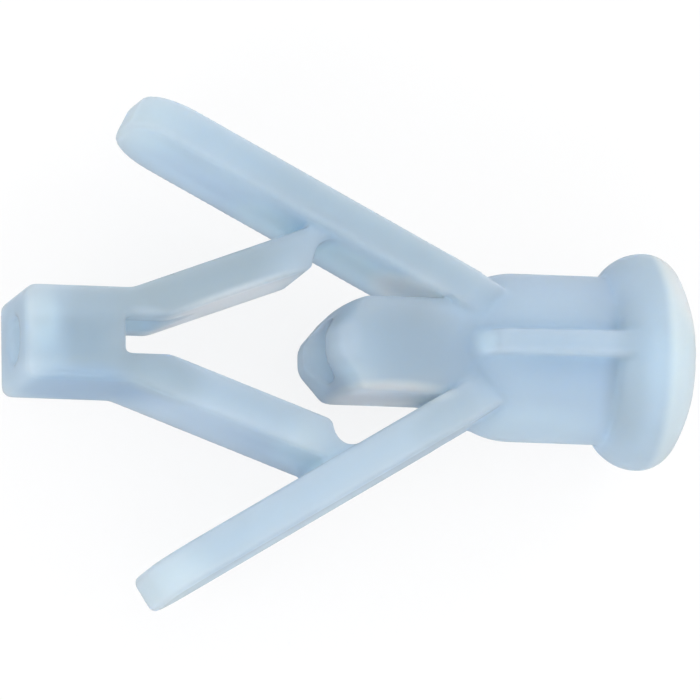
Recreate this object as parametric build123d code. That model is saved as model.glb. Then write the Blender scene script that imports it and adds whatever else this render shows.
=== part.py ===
from build123d import *
import os
from math import cos, radians, sin, sqrt, tan

# Winged plasterboard anchor, one injection moulding in its spread, as-moulded state.
# Row frame: +X along the screw axis towards the head, wings spread along +Y and -Y, +Z up.
# The origin lies on the screw axis at the flange's underside, where the board's face would be.
# All lengths are millimetres, all angles degrees.

# screw passage
screw_bore_radius = 1.9
countersink_radius = 3.4
pilot_bore_radius = 1.4

# shank, sized for a 10 mm hole
shank_radius = 5.0
shank_length = 8.5
shoulder_length = 2.9

# mushroom head
flange_radius = 6.45
flange_seat_width = 0.35
flange_rim_depth = 2.3
dome_height = 3.15
dome_edge_radius = 2.0

# fins that stop the shank turning in the board
fin_width = 1.5
fin_inner_height = 0.6
fin_ramp_length = 1.4
fin_overrun = 0.3
fin_rim_inset = 0.1
fin_edge_radius = 0.3

# nose that guides the screw between the wings
nose_half_height = 2.5
nose_width = 7.8
nose_length = 9.3
nose_taper_length = 1.5
nose_tip_half_height = 0.75
nose_edge_bevel = 0.25

# wings: straps that bear on the back of the board
wing_angles = {"upper": 27.8, "lower": 31.4}
wing_lengths = {"upper": 22.75, "lower": 22.4}
wing_thickness = 2.3
wing_width = 8.8
wing_root_width = 7.0
wing_root_flare = 1.8
wing_root_radius = 4.23
wing_root_inset = 0.35
wing_root_bury = 2.2
wing_corner_radius = 3.0

# links: struts from the wings to the tip block, as wide as the block
strut_width = 6.9
link_joint_distances = {"upper": 10.3, "lower": 9.55}
link_thickness = 2.4
link_end_setbacks = {"upper": 1.1, "lower": 0.75}
link_face_angle = 55
link_end_radius = 0.5
link_root_radius = 1.1
link_core_length = 8.0
elbow_radius = 1.0

# tip block, which the screw pulls towards the board
tip_depth = 36.05
tip_block_length = 6.1
tip_half_height = 2.86
tip_corner_radius = 0.6
slot_half_height = 1.15
elbow_offset = 0.5

# soft edges left by the mould
strap_edge_radius = 0.4
block_edge_radius = 0.35

# overlap that joins neighbouring features, reach of a cutter past a face, share of a face a fillet may use
fuse_bury = 0.6
cutter_reach = 2.0
fillet_share = 0.75

shank_end_x = -shank_length
shoulder_end_radius = sqrt(shank_radius**2 - shoulder_length**2)
nose_tip_x = shank_end_x - nose_length
slot_end_x = tip_block_length - tip_depth
elbow_x = slot_end_x + elbow_offset
crown_x = flange_rim_depth + dome_height
dome_edge_centre = flange_radius - dome_edge_radius
dome_radius = (dome_height**2 + dome_edge_centre**2 - dome_edge_radius**2) / (
    2 * (dome_height - dome_edge_radius)
)
dome_centre_x = crown_x - dome_radius
sides = {"upper": 1, "lower": -1}


def dome_x(radius):
    """X of the dome's crown surface at a given distance from the axis."""
    return dome_centre_x + sqrt(dome_radius**2 - radius**2)


countersink_top_x = dome_x(countersink_radius)
countersink_floor_x = countersink_top_x - (countersink_radius - screw_bore_radius)


def head_and_shank():
    """Turned form of the head, its rounded underside and the shank with its ball-shaped shoulder."""
    seat_radius = shank_radius + flange_seat_width
    shoulder_end = (shank_end_x, shoulder_end_radius)
    shoulder_start = (shank_end_x + shoulder_length, shank_radius)
    rim = Vector(flange_rim_depth, flange_radius)
    edge_centre = Vector(flange_rim_depth, dome_edge_centre)
    edge_direction = (edge_centre - Vector(dome_centre_x, 0)).normalized()
    dome_edge = edge_centre + edge_direction * dome_edge_radius
    dome_slope = (edge_direction.Y, -edge_direction.X)
    outline = [
        Line((shank_end_x, 0), shoulder_end),
        TangentArc(shoulder_start, shoulder_end, tangent=(-1, 0)),
        Line(shoulder_start, (0, shank_radius)),
        Line((0, shank_radius), (0, seat_radius)),
        TangentArc(rim, (0, seat_radius), tangent=(-1, 0)),
        TangentArc(rim, dome_edge, tangent=(1, 0)),
        TangentArc(dome_edge, (crown_x, 0), tangent=dome_slope),
        Line((crown_x, 0), (shank_end_x, 0)),
    ]
    return revolve(make_face(outline), Axis.X)


def fin(direction):
    """One fin along the shank, from its inner end up to the flange's rim, on the +Z or -Z side."""
    inner_x = shank_end_x - fin_overrun
    crest = shank_radius + fin_inner_height
    foot = shoulder_end_radius - fuse_bury
    outline = Polyline(
        (inner_x, foot),
        (inner_x, shoulder_end_radius),
        (inner_x + fin_ramp_length, crest),
        (flange_rim_depth, flange_radius - fin_rim_inset),
        (flange_rim_depth, foot),
        close=True,
    )
    plate = extrude(Plane.XZ * make_face(outline), fin_width / 2, both=True)
    crest_edges = plate.edges().filter_by(lambda edge: edge.center().Z > shoulder_end_radius)
    plate = fillet(crest_edges.filter_by(Plane.XZ), fin_edge_radius)
    if direction < 0:
        plate = mirror(plate, Plane.XY)
    return plate


def nose():
    """Rectangular screw guide, wedge-ended, that stands out between the wing roots."""
    taper_x = nose_tip_x + nose_taper_length
    root_x = shank_end_x + fuse_bury
    outline = Polyline(
        (root_x, nose_half_height),
        (taper_x, nose_half_height),
        (nose_tip_x, nose_tip_half_height),
        (nose_tip_x, -nose_tip_half_height),
        (taper_x, -nose_half_height),
        (root_x, -nose_half_height),
        close=True,
    )
    block = extrude(make_face(outline), nose_width / 2, both=True)
    outer_edges = block.edges().filter_by(lambda edge: edge.center().X < root_x - fuse_bury)
    return chamfer(outer_edges, nose_edge_bevel)


def wing_frame(side):
    """Plane at the wing's root on its outer face: local X runs to the free end, local Z inwards."""
    angle = radians(wing_angles[side])
    sign = sides[side]
    along = Vector(-cos(angle), sign * sin(angle), 0)
    inward = Vector(-sin(angle), -sign * cos(angle), 0)
    root = Vector(shank_end_x + wing_root_inset, sign * wing_root_radius, 0)
    return Plane(origin=root, x_dir=along, z_dir=inward)


def wing(side):
    """Flat strap with a rounded free end and softened edges, its root set into the shank."""
    outline = Polyline(
        (-wing_root_bury, -wing_root_width / 2),
        (0, -wing_root_width / 2),
        (wing_root_flare, -wing_width / 2),
        (wing_lengths[side], -wing_width / 2),
        (wing_lengths[side], wing_width / 2),
        (wing_root_flare, wing_width / 2),
        (0, wing_root_width / 2),
        (-wing_root_bury, wing_root_width / 2),
        close=True,
    )
    strap = make_face(outline)
    free_corners = strap.vertices().filter_by(lambda corner: corner.X > wing_root_flare + fuse_bury)
    strap = fillet(free_corners, wing_corner_radius)
    body = extrude(wing_frame(side) * strap, wing_thickness)
    faces = body.faces().sort_by(lambda face: face.area)[-2:]
    rims = faces[0].edges() + faces[1].edges()
    return fillet(rims.filter_by(lambda edge: edge.center().X < shank_end_x), strap_edge_radius)


def wing_core(side):
    """Side view of the inner half of the wing behind the link, which the link's root blends into."""
    far = link_joint_distances[side] + fuse_bury
    near = far - link_core_length
    corners = [(near, wing_thickness / 2), (near, wing_thickness), (far, wing_thickness)]
    corners.append((far, wing_thickness / 2))
    frame = wing_frame(side)
    points = [frame.from_local_coords((along, 0, inward)) for along, inward in corners]
    return make_face(Polyline(*points, close=True))


def link_section(side):
    """Side view of one leg of the tip block and its link, blended into the wing."""
    sign = sides[side]
    frame = wing_frame(side)
    joint = frame.from_local_coords(Vector(link_joint_distances[side], 0, wing_thickness))
    elbow = Vector(elbow_x, sign * tip_half_height)
    along = (joint - elbow).normalized()
    outward = Vector(-along.Y, along.X) * sign
    inner_line = elbow - outward * link_thickness
    bend = inner_line + along * ((sign * slot_half_height - inner_line.Y) / along.Y)
    end_corner = joint - outward * link_thickness - along * link_end_setbacks[side]
    face_angle = radians(link_face_angle)
    end_face = along * cos(face_angle) + outward * sin(face_angle)
    gap = frame.to_local_coords(end_corner).Z - wing_thickness
    face_length = -gap / end_face.dot(frame.z_dir)
    foot = end_corner + end_face * face_length
    into_wing = frame.z_dir * (-wing_thickness / 2)
    outline = Polyline(
        Vector(slot_end_x - fuse_bury, sign * slot_half_height),
        bend,
        end_corner,
        foot,
        foot + into_wing,
        joint + into_wing,
        joint,
        elbow,
        Vector(slot_end_x - fuse_bury, sign * tip_half_height),
        close=True,
    )
    profile = make_face(outline) + wing_core(side)
    foot_angle = (frame.x_dir * -1).get_angle(end_face * -1)
    root_radius = min(link_root_radius, fillet_share * face_length * tan(radians(foot_angle / 2)))
    profile = soften(profile, end_corner, link_end_radius)
    profile = soften(profile, elbow, elbow_radius)
    profile = soften(profile, bend, elbow_radius)
    return soften(profile, foot, root_radius)


def soften(profile, point, radius):
    """Profile with the corner nearest to a point rounded."""
    corner = profile.vertices().sort_by_distance(point)[0]
    return fillet(corner, radius)


def tip_and_links():
    """Slotted tip block with both links, softened along its edges."""
    profile = Pos((slot_end_x - tip_depth) / 2, 0) * Rectangle(tip_block_length, 2 * tip_half_height)
    tip_corners = profile.vertices().sort_by(Axis.X)[:2]
    profile = fillet(tip_corners, tip_corner_radius)
    for side in sides:
        profile += link_section(side)
    body = extrude(profile, strut_width / 2, both=True)
    side_faces = body.faces().sort_by(Axis.Z)
    return fillet(side_faces[0].edges() + side_faces[-1].edges(), block_edge_radius)


def screw_passage():
    """Countersunk bore through the head, the shank and the nose."""
    start_x = nose_tip_x - cutter_reach
    flare = countersink_radius + cutter_reach
    outline = Polyline(
        (start_x, 0),
        (start_x, screw_bore_radius),
        (countersink_floor_x, screw_bore_radius),
        (countersink_top_x + cutter_reach, flare),
        (countersink_top_x + cutter_reach, 0),
        close=True,
    )
    return revolve(make_face(outline), Axis.X)


def screw_groove():
    """Groove in the legs beside the slot, where the screw passes from the nose to the tip block."""
    length = nose_tip_x - slot_end_x
    return Pos(slot_end_x + length / 2, 0, 0) * Rot(0, 90, 0) * Cylinder(screw_bore_radius, length)


def pilot_hole():
    """Undersized bore through the tip block, in which the screw cuts its own thread."""
    length = tip_block_length + 2 * fuse_bury
    centre_x = (slot_end_x - tip_depth) / 2
    return Pos(centre_x, 0, 0) * Rot(0, 90, 0) * Cylinder(pilot_bore_radius, length)


def winged_anchor():
    """The whole moulding."""
    body = head_and_shank() + fin(1) + fin(-1) + nose()
    for side in sides:
        body += wing(side)
    body += tip_and_links()
    return body - screw_passage() - screw_groove() - pilot_hole()


os.makedirs("parts", exist_ok=True)
anchor = winged_anchor()
export_step(anchor, "parts/winged_anchor.step")
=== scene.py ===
import math

import bmesh
import bpy
from mathutils import Matrix, Vector


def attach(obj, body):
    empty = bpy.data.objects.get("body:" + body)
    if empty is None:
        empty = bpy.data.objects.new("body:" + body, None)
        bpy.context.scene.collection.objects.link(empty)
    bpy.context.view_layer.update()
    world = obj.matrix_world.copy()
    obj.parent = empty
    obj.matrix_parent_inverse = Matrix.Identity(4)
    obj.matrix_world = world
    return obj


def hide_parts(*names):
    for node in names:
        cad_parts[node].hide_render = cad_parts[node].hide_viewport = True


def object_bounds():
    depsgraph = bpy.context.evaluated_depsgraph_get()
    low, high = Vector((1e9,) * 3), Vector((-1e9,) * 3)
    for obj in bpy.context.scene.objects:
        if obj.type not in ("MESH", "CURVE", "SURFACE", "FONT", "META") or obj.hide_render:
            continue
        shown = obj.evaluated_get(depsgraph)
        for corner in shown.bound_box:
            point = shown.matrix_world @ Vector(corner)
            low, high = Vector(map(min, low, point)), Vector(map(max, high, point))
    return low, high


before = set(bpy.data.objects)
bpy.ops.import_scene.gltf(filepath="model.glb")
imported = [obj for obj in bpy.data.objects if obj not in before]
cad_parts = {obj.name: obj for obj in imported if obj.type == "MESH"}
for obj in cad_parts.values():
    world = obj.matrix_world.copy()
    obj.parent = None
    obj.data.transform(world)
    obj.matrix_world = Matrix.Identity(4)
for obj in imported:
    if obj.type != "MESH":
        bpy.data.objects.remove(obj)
cadLow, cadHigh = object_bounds()
print("stage: frame loaded")

mm = 0.001


def lookCamera():
    # without perspective, swung towards the tip and dipped towards the lower wing; angles in degrees
    view = {
        "swing": 13.8,
        "dip": 10.94,
        "roll": 0.634,
        "width": 41.66 * mm,
        "distance": 300 * mm,
        "nearest": 1 * mm,
        "farthest": 3,
        "alongAxis": -0.6 * mm,
        "right": -14.42 * mm,
        "up": 0.64 * mm,
    }
    swing = math.radians(view["swing"])
    dip = math.radians(view["dip"])
    roll = math.radians(view["roll"])
    back = Vector((-math.sin(swing) * math.cos(dip), -math.sin(dip), math.cos(swing) * math.cos(dip)))
    sideways = Vector((math.cos(swing), 0, math.sin(swing)))
    upwards = back.cross(sideways)
    right = sideways * math.cos(roll) - upwards * math.sin(roll)
    up = sideways * math.sin(roll) + upwards * math.cos(roll)
    target = Vector((view["alongAxis"], 0, 0)) + right * view["right"] + up * view["up"]
    data = bpy.data.cameras.new("productCamera")
    data.type = "ORTHO"
    data.ortho_scale = view["width"]
    data.clip_start = view["nearest"]
    data.clip_end = view["farthest"]
    camera = bpy.data.objects.new("productCamera", data)
    bpy.context.scene.collection.objects.link(camera)
    camera.rotation_mode = "QUATERNION"
    camera.rotation_quaternion = Matrix([[right[i], up[i], back[i]] for i in range(3)]).to_quaternion()
    camera.location = target + back * view["distance"]
    bpy.context.scene.camera = camera
    print("stage: camera")


def rootWeb(name, side, turn):
    # plate that keeps a wing wide right into the shank, so that the root has no step, in mm;
    # its outline is given as distances along the wing with the half width there
    web = {
        "root": (-8.15, 4.23),
        "depths": (0.05, 2.25),
        "halfOutline": [(2.6, 4.33), (0.2, 4.33), (-2.8, 3.4)],
    }
    along = Vector((-math.cos(turn), side * math.sin(turn), 0))
    inward = Vector((-math.sin(turn), -side * math.cos(turn), 0))
    root = Vector((web["root"][0], side * web["root"][1], 0))
    outline = web["halfOutline"] + [(a, -z) for a, z in reversed(web["halfOutline"])]
    points = []
    for depth in web["depths"]:
        for a, z in outline:
            points.append((root + along * a + inward * depth + Vector((0, 0, z))) * mm)
    count = len(outline)
    faces = [tuple(range(count)), tuple(reversed(range(count, 2 * count)))]
    for corner in range(count):
        following = (corner + 1) % count
        faces.append((corner, corner + count, following + count, following))
    mesh = bpy.data.meshes.new(name)
    mesh.from_pydata(points, [], faces)
    return mesh


def portion(value, start, end):
    # 0 up to start, 1 from end on
    return min(max((value - start) / (end - start), 0), 1)


def ease(value, start, end):
    share = portion(value, start, end)
    return share * share * (3 - 2 * share)


def shapeNose(mesh):
    # towards +Z the nose gets a little deeper, above and below, and its end is rounded back;
    # in mm, with distances along the nose counted from the flange; past the two limits is no nose
    nose = {
        "above": 0.3,
        "below": 0.55,
        "setBack": 1.4,
        "lengthLimit": 18.3,
        "heightLimit": 2.8,
        "halfWidth": 3.9,
        "rootFade": (9.6, 11.0),
        "wallFade": (1.95, 2.4),
        "endFade": (13.2, 16.3),
        "rounding": (-1.9, 3.9),
    }
    for point in mesh.vertices:
        x, y, z = point.co / mm
        if not nose["rootFade"][0] <= -x <= nose["lengthLimit"] or abs(y) > nose["heightLimit"]:
            continue
        growth = nose["above"] if y > 0 else -nose["below"]
        share = ease(-x, *nose["rootFade"]) * ease(abs(y), *nose["wallFade"])
        point.co.y += growth * share * portion(z, -nose["halfWidth"], nose["halfWidth"]) * mm
        rise = portion(z, *nose["rounding"])
        rounding = 1 - math.sqrt(1 - rise * rise)
        point.co.x += nose["setBack"] * rounding * ease(-x, *nose["endFade"]) * mm


def mouldedAnchor():
    # the moulding's skin, with mould-soft edges and hollows; wing roots: side, and turn in degrees
    skin = {
        "cell": 0.195 * mm,
        "smoothing": 0.5,
        "passes": 3,
        "fullness": 0.018 * mm,
        "wingRoots": {"upperRoot": (1, 27.8), "lowerRoot": (-1, 31.4)},
    }
    whole = bmesh.new()
    whole.from_mesh(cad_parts["winged_anchor"].data)
    for name, (side, turn) in skin["wingRoots"].items():
        web = rootWeb(name, side, math.radians(turn))
        whole.from_mesh(web)
        bpy.data.meshes.remove(web)
    bmesh.ops.recalc_face_normals(whole, faces=whole.faces[:])
    body = bpy.data.meshes.new("mouldedAnchor")
    whole.to_mesh(body)
    whole.free()
    piece = bpy.data.objects.new("mouldedAnchor", body)
    bpy.context.scene.collection.objects.link(piece)
    bpy.context.view_layer.objects.active = piece
    remesh = piece.modifiers.new("skin", "REMESH")
    remesh.mode = "VOXEL"
    remesh.voxel_size = skin["cell"]
    remesh.use_smooth_shade = True
    soften = piece.modifiers.new("soften", "SMOOTH")
    soften.factor = skin["smoothing"]
    soften.iterations = skin["passes"]
    bpy.context.view_layer.update()
    graph = bpy.context.evaluated_depsgraph_get()
    finished = bpy.data.meshes.new_from_object(piece.evaluated_get(graph))
    piece.modifiers.clear()
    piece.data = finished
    for polygon in finished.polygons:
        polygon.use_smooth = True
    outward = [point.normal.copy() for point in finished.vertices]
    for point, direction in zip(finished.vertices, outward):
        point.co += direction * skin["fullness"]
    shapeNose(finished)
    print("stage: moulding", len(finished.vertices), "points", len(finished.polygons), "faces")
    return piece


# a dab paints light or shade into the plastic's colour: a lighter tint is painted light, where light
# comes through thin plastic, reaches into a shaded hollow or falls on the dome, a darker tint is
# painted shade; columns: tint, middle in mm, turn about Z in degrees, reach in mm, strength, and the
# share of its reach that has the strength in full
plastic = {
    "roughness": (0.5, 0.62),
    "polishedRoughness": 0.3,
    "polishedDabs": ("upperLinkInside", "noseUnderside"),
    "refraction": 1.45,
    "throughLight": 0.5,
    "scatterShare": 1.0,
    "scatterByColour": (0.9, 1.0, 1.1),
    "scatterReach": 6 * mm,
    "flowScale": 220,
    "flowDetail": 2,
    "flowRange": (0.45, 0.75),
    "flowShare": 0.22,
    "rippleScale": 900,
    "rippleDepth": 0.03 * mm,
    "rippleStrength": 0.12,
    # base is the plastic's own colour and green the colour of its random clouds; the other tints, and
    # green again in a dab, are painted light and painted shade
    "tints": {
        "base": (0.535, 0.665, 0.80, 1),
        "white": (0.88, 0.98, 1.00, 1),
        "bright": (0.74, 0.87, 1.00, 1),
        "pale": (0.66, 0.83, 1.00, 1),
        "blue": (0.58, 0.715, 0.90, 1),
        "green": (0.41, 0.50, 0.55, 1),
        "deep": (0.34, 0.47, 0.62, 1),
    },
    # painted light and painted shade, place by place
    "paintedLightAndShadeDabs": {
        "upperFreeEnd": ("pale", (-28.5, 13.8, 1), -27.8, (4.5, 3.5, 6), 0.7, 0.35),
        "lowerFreeEnd": ("pale", (-26.9, -14.7, 1), 31.4, (3.5, 3, 6), 0.7, 0.35),
        "lowerWing": ("blue", (-18, -9.4, 3), 31.4, (10, 2.5, 6), 0.3, 0.35),
        "lowerWingOutside": ("pale", (-18, -10.8, -1), 31.4, (11, 1.3, 6), 0.7, 0.35),
        "dome": ("bright", (5.4, 0, 0), 0, (3.5, 14, 14), 1.0, 0.8),
        "domeTop": ("white", (4.6, 4.6, 1.8), 0, (2.6, 4.6, 8), 1.0, 0.5),
        "flangeBack": ("green", (0.5, -1.5, 4), 0, (1.9, 6, 4), 0.65, 0.4),
        "shankTop": ("blue", (-3, 4, 3), 0, (8, 2, 4), 0.4, 0.35),
        "tipBand": ("pale", (-35.2, 0.8, 3.4), 0, (1.6, 2.6, 2), 0.6, 0.35),
        "tipMiddle": ("green", (-31.5, 0, 2.5), 0, (3.2, 7, 4), 0.65, 0.5),
        "tipUnderside": ("deep", (-32, -3.4, 1), 0, (6, 2, 7), 1.0, 0.5),
        "tipEnd": ("deep", (-36.4, 0, 0), 0, (0.9, 5, 5), 0.6, 0.5),
        "upperLink": ("green", (-25.5, 3.8, 4), 20.4, (7.5, 3.5, 2.5), 1.0, 0.5),
        "upperLinkInside": ("white", (-23, 2.3, -1), 20.4, (7.5, 1.1, 9), 1.0, 0.5),
        "slotWall": ("pale", (-28.8, 1.3, 0), 0, (2.5, 1, 4.2), 1.0, 0.5),
        "lowerLinkRoot": ("pale", (-18.8, -6.3, 1.5), -20.1, (3, 3, 4), 0.9, 0.35),
        "lowerLinkOutside": ("blue", (-24.2, -5, 0), -20.1, (6, 1.5, 5), 0.6, 0.35),
        "lowerLinkTip": ("green", (-28, -2.4, 3.5), -20.1, (4, 2, 3), 0.8, 0.35),
        "upperWingInside": ("blue", (-24, 9.5, -1), -27.8, (7, 3, 4), 0.8, 0.35),
        "upperWingAtLink": ("pale", (-20.5, 7.6, -1), -27.8, (3.2, 1.6, 4.5), 0.9, 0.4),
        "upperWingRoot": ("pale", (-14.5, 5.4, -0.5), -27.8, (5.5, 2, 4), 1.0, 0.5),
        "crevice": ("white", (-11.5, 3.6, 0), -27.8, (3.5, 1.6, 5), 1.0, 0.5),
        "lowerRootEdge": ("green", (-10.5, -4.8, 4.6), 31.4, (3.5, 2, 2), 0.4, 0.35),
        "upperEdge": ("green", (-16, 7.6, 4.6), -27.8, (12, 2.5, 1.8), 0.55, 0.4),
        "noseFace": ("green", (-12.5, 0, 4.2), 0, (4, 3.5, 2), 0.35, 0.35),
        "noseEdge": ("blue", (-16.6, 0.2, 3.9), 0, (1.3, 2, 1.5), 0.6, 0.35),
        "noseEnd": ("pale", (-17.6, -0.8, -0.5), 0, (2, 4, 4.6), 0.9, 0.5),
        "noseLow": ("pale", (-16.2, -2.4, 2.5), 0, (2.4, 1.5, 3), 0.6, 0.35),
        "noseUnderside": ("white", (-13.6, -3.1, -0.5), 0, (5, 1.1, 9), 1.0, 0.5),
        "finStart": ("pale", (-8.4, 0.1, 5), 0, (1, 1.2, 1.2), 0.7, 0.35),
        "shankUnderside": ("pale", (-4.8, -4.8, 2), 0, (5, 1.8, 6), 0.4, 0.35),
    },
}


def paintedLightAndShadeStrength(tree, place, middle, turn, reach, strength, fullShare):
    # how strongly one dab of painted light or shade is laid on: in full up to the given share of the
    # reach, and fading to nothing at its end
    local = tree.nodes.new("ShaderNodeMapping")
    local.vector_type = "TEXTURE"
    local.inputs["Location"].default_value = [c * mm for c in middle]
    local.inputs["Rotation"].default_value = (0, 0, math.radians(turn))
    local.inputs["Scale"].default_value = [r * mm for r in reach]
    tree.links.new(place, local.inputs["Vector"])
    away = tree.nodes.new("ShaderNodeVectorMath")
    away.operation = "LENGTH"
    tree.links.new(local.outputs["Vector"], away.inputs[0])
    fade = tree.nodes.new("ShaderNodeMapRange")
    fade.interpolation_type = "SMOOTHSTEP"
    fade.inputs["From Min"].default_value = fullShare
    fade.inputs["From Max"].default_value = 1.0
    fade.inputs["To Min"].default_value = strength
    fade.inputs["To Max"].default_value = 0.0
    tree.links.new(away.outputs["Value"], fade.inputs["Value"])
    return fade.outputs[0]


def milkyPlastic():
    # translucent bluish-white plastic: light goes through it; faint random clouds vary its tone, and
    # painted light and painted shade make it lighter or darker from place to place
    material = bpy.data.materials.new("milkyPlastic")
    material.use_nodes = True
    tree = material.node_tree
    nodes = tree.nodes
    links = tree.links
    nodes.clear()
    output = nodes.new("ShaderNodeOutputMaterial")
    shader = nodes.new("ShaderNodeBsdfPrincipled")
    links.new(shader.outputs["BSDF"], output.inputs["Surface"])
    shader.inputs["IOR"].default_value = plastic["refraction"]
    shader.inputs["Transmission Weight"].default_value = plastic["throughLight"]
    shader.inputs["Subsurface Weight"].default_value = plastic["scatterShare"]
    shader.inputs["Subsurface Radius"].default_value = plastic["scatterByColour"]
    shader.inputs["Subsurface Scale"].default_value = plastic["scatterReach"]
    place = nodes.new("ShaderNodeTexCoord").outputs["Object"]

    # faint clouds in colour and gloss, as flowing plastic leaves them
    flow = nodes.new("ShaderNodeTexNoise")
    flow.inputs["Scale"].default_value = plastic["flowScale"]
    flow.inputs["Detail"].default_value = plastic["flowDetail"]
    links.new(place, flow.inputs["Vector"])
    flowShare = nodes.new("ShaderNodeMapRange")
    flowShare.inputs["From Min"].default_value = plastic["flowRange"][0]
    flowShare.inputs["From Max"].default_value = plastic["flowRange"][1]
    flowShare.inputs["To Max"].default_value = plastic["flowShare"]
    links.new(flow.outputs[0], flowShare.inputs["Value"])
    clouds = nodes.new("ShaderNodeMix")
    clouds.data_type = "RGBA"
    clouds.inputs["A"].default_value = plastic["tints"]["base"]
    clouds.inputs["B"].default_value = plastic["tints"]["green"]
    links.new(flowShare.outputs[0], clouds.inputs["Factor"])
    colour = clouds.outputs["Result"]
    gloss = nodes.new("ShaderNodeMapRange")
    gloss.inputs["To Min"].default_value = plastic["roughness"][0]
    gloss.inputs["To Max"].default_value = plastic["roughness"][1]
    links.new(flow.outputs[0], gloss.inputs["Value"])
    roughness = gloss.outputs[0]

    # fine ripple of the surface
    ripple = nodes.new("ShaderNodeTexNoise")
    ripple.inputs["Scale"].default_value = plastic["rippleScale"]
    links.new(place, ripple.inputs["Vector"])
    bump = nodes.new("ShaderNodeBump")
    bump.inputs["Strength"].default_value = plastic["rippleStrength"]
    bump.inputs["Distance"].default_value = plastic["rippleDepth"]
    links.new(ripple.outputs[0], bump.inputs["Height"])
    links.new(bump.outputs["Normal"], shader.inputs["Normal"])

    # each dab paints light or shade into the colour: its lighter or darker tint is mixed in over its
    # reach
    for name, (tint, *extent) in plastic["paintedLightAndShadeDabs"].items():
        strength = paintedLightAndShadeStrength(tree, place, *extent)
        tinted = nodes.new("ShaderNodeMix")
        tinted.data_type = "RGBA"
        tinted.inputs["B"].default_value = plastic["tints"][tint]
        links.new(strength, tinted.inputs["Factor"])
        links.new(colour, tinted.inputs["A"])
        colour = tinted.outputs["Result"]
        if name in plastic["polishedDabs"]:
            polished = nodes.new("ShaderNodeMix")
            polished.inputs["B"].default_value = plastic["polishedRoughness"]
            links.new(strength, polished.inputs["Factor"])
            links.new(roughness, polished.inputs["A"])
            roughness = polished.outputs["Result"]
    links.new(colour, shader.inputs["Base Color"])
    links.new(roughness, shader.inputs["Roughness"])
    print("stage: plastic with", len(plastic["paintedLightAndShadeDabs"]), "paintedLightAndShadeDabs")
    return material


def paleFloor():
    # pale matte floor that the camera and reflections see as nearly plain white, with the soft shadow
    floorLook = {"half": 2.5, "drop": 0.02 * mm, "matte": (0.9, 0.9, 0.9, 1), "whiteShare": 0.85}
    level = cadLow.z - floorLook["drop"]
    half = floorLook["half"]
    corners = [(-half, -half, level), (half, -half, level), (half, half, level), (-half, half, level)]
    mesh = bpy.data.meshes.new("paleFloor")
    mesh.from_pydata(corners, [], [(0, 1, 2, 3)])
    floor = bpy.data.objects.new("paleFloor", mesh)
    bpy.context.scene.collection.objects.link(floor)
    material = bpy.data.materials.new("paleFloor")
    material.use_nodes = True
    nodes = material.node_tree.nodes
    links = material.node_tree.links
    nodes.clear()
    output = nodes.new("ShaderNodeOutputMaterial")
    matte = nodes.new("ShaderNodeBsdfDiffuse")
    matte.inputs["Color"].default_value = floorLook["matte"]
    white = nodes.new("ShaderNodeEmission")
    white.inputs["Color"].default_value = (1, 1, 1, 1)
    white.inputs["Strength"].default_value = 1.0
    path = nodes.new("ShaderNodeLightPath")
    seen = path.outputs["Is Camera Ray"]
    for ray in ("Is Glossy Ray", "Is Transmission Ray"):
        either = nodes.new("ShaderNodeMath")
        either.operation = "MAXIMUM"
        links.new(seen, either.inputs[0])
        links.new(path.outputs[ray], either.inputs[1])
        seen = either.outputs[0]
    share = nodes.new("ShaderNodeMath")
    share.operation = "MULTIPLY"
    share.inputs[1].default_value = floorLook["whiteShare"]
    mix = nodes.new("ShaderNodeMixShader")
    links.new(seen, share.inputs[0])
    links.new(share.outputs[0], mix.inputs[0])
    links.new(matte.outputs[0], mix.inputs[1])
    links.new(white.outputs[0], mix.inputs[2])
    links.new(mix.outputs[0], output.inputs["Surface"])
    mesh.materials.append(material)
    print("stage: floor")


def softLamp(name, aim, place, size, power):
    # wide and round, and not itself in the picture
    data = bpy.data.lights.new(name, "AREA")
    data.shape = "DISK"
    data.size = size
    data.energy = power
    lamp = bpy.data.objects.new(name, data)
    bpy.context.scene.collection.objects.link(lamp)
    lamp.location = place
    lamp.rotation_mode = "QUATERNION"
    lamp.rotation_quaternion = (Vector(aim) - Vector(place)).to_track_quat("-Z", "Y")
    lamp.visible_camera = False


def studio():
    # even light from all round, and white where the camera sees past the floor;
    # lamps are aimed at the anchor's middle: place and size in metres, power in watts
    light = {
        "skyOnAnchor": 0.97,
        "skyToCamera": 1.0,
        "aim": (-15 * mm, 0, 0),
        "lamps": {
            "tipLamp": ((-0.2, -0.09, 0.11), 0.12, 0.15),
            "headLamp": ((0.17, 0.15, 0.1), 0.12, 0.2),
            "frontLamp": ((-0.02, -0.2, 0.13), 0.16, 0.09),
        },
    }
    world = bpy.data.worlds.new("studio")
    bpy.context.scene.world = world
    world.use_nodes = True
    nodes = world.node_tree.nodes
    links = world.node_tree.links
    sky = nodes["Background"]
    sky.inputs["Color"].default_value = (1, 1, 1, 1)
    path = nodes.new("ShaderNodeLightPath")
    level = nodes.new("ShaderNodeMapRange")
    level.inputs["To Min"].default_value = light["skyOnAnchor"]
    level.inputs["To Max"].default_value = light["skyToCamera"]
    links.new(path.outputs["Is Camera Ray"], level.inputs["Value"])
    links.new(level.outputs[0], sky.inputs["Strength"])
    for name, (place, size, power) in light["lamps"].items():
        softLamp(name, light["aim"], place, size, power)
    print("stage: studio")


lookCamera()
anchor = mouldedAnchor()
anchor.data.materials.append(milkyPlastic())
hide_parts("winged_anchor")
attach(anchor, "root")
paleFloor()
studio()

bpy.context.scene.view_settings.view_transform = "Standard"
